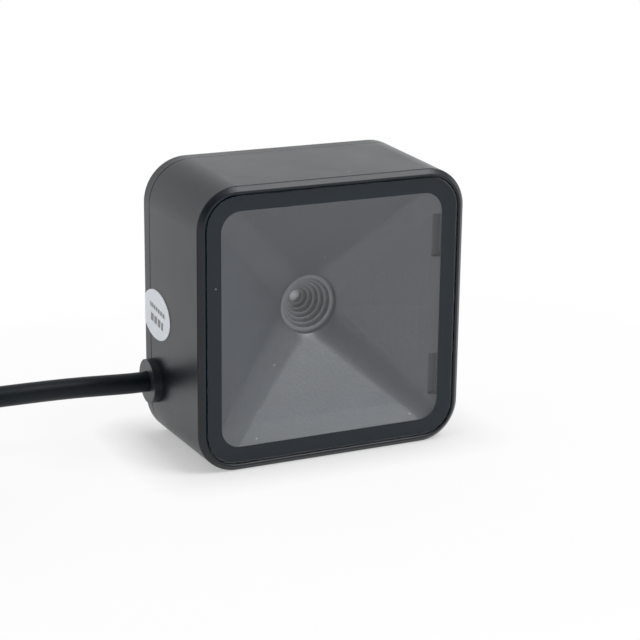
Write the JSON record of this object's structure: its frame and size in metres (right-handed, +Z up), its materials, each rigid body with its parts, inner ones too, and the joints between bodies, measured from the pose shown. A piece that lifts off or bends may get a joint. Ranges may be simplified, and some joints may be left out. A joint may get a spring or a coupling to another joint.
{
  "type": "fixed barcode reader",
  "caption": "Square fixed barcode reader with a flush glass window, sloping grey walls around a stepped lens opening, and a side cable with a flat plug.",
  "frame": {"origin": "centre of the reader's outline on its standing face, measured without the cable", "axes": "+Z up, the window faces -Y, the cable leaves towards -X"},
  "size_m": [0.2309, 0.0399, 0.0606],
  "materials": {
    "housing": "fine moulded texture, satin",
    "clear_window": "polished",
    "black_tape": "matte",
    "hood": "fine moulded texture, satin",
    "screw_steel": "satin",
    "insert_brass": "turned",
    "lens_glass": "polished",
    "black_plastic": "matte",
    "board": "varnished",
    "chip": "matte",
    "lamp": "translucent",
    "connector": "matte",
    "lead": "smooth",
    "cable_jacket": "satin",
    "tie": "satin",
    "label": "smooth film",
    "plug_plastic": "satin",
    "plug_steel": "plated",
    "plug_white": "matte",
    "contact_gold": "plated"
  },
  "bodies": {
    "root": {"front_housing": "housing", "back_cover": "housing", "cover_screws": "screw_steel", "mount_inserts": "insert_brass", "window_glass": "clear_window", "window_tape": "black_tape", "light_hood": "hood", "lens_barrel": "black_plastic", "lens_front": "lens_glass", "lens_spacer": "black_plastic", "lens_rear": "lens_glass", "lens_holder": "black_plastic", "ir_filter": "lens_glass", "image_sensor": "chip", "main_board": "board", "board_screws": "screw_steel", "decoder_chip": "chip", "memory_chip": "chip", "clock_crystal": "screw_steel", "lamp_chips": "lamp", "buzzer": "black_plastic", "cable_header": "connector", "cable_connector": "connector", "inner_leads": "lead", "cable_grommet": "cable_jacket", "seal_label": "label", "cable": "cable_jacket", "cable_coil": "cable_jacket", "coil_tie": "tie", "cable_tail": "cable_jacket", "plug_body": "plug_plastic", "plug_shell": "plug_steel", "plug_insert": "plug_white", "plug_contacts": "contact_gold"}
  },
  "joints": []
}
